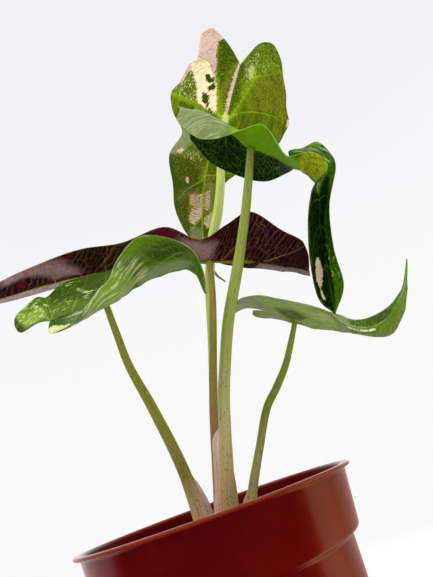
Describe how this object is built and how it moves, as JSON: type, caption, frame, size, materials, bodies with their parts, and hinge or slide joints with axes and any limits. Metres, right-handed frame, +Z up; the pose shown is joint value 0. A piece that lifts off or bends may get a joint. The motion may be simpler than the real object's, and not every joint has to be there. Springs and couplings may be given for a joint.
{
  "type": "potted alocasia house plant",
  "caption": "Small alocasia with shield-shaped, pink-and-cream variegated leaves on tall petioles, leaning out of a round plastic nursery pot.",
  "frame": {"origin": "centre of the pot's flat underside, on the surface it stands on", "axes": "+Z up; the picture looks along +Y and slightly up, with +X to its right"},
  "size_m": [0.1926, 0.1461, 0.3263],
  "materials": {
    "pot": "smooth, glossy, maroon to terracotta",
    "mix": "crumbly, matt",
    "crown": "matt, fibrous",
    "petiole_green": "satin, with dark dashes",
    "petiole_brown": "satin, speckled brown",
    "leaf_green": "satin, green marbled with pink and cream",
    "leaf_dark": "satin, dark green with a pink patch",
    "leaf_purple": "satin, dark purple underneath"
  },
  "bodies": {
    "root": {"pot": "pot", "potting_mix": "mix", "crown": "crown", "petiole_top": "petiole_green", "petiole_front": "petiole_green", "petiole_purple": "petiole_brown", "petiole_lower_left": "petiole_green", "petiole_lower_right": "petiole_green", "leaf_top": "leaf_green", "leaf_front": "leaf_dark", "leaf_purple": "leaf_purple", "leaf_lower_left": "leaf_green", "leaf_lower_right": "leaf_green"}
  },
  "joints": []
}
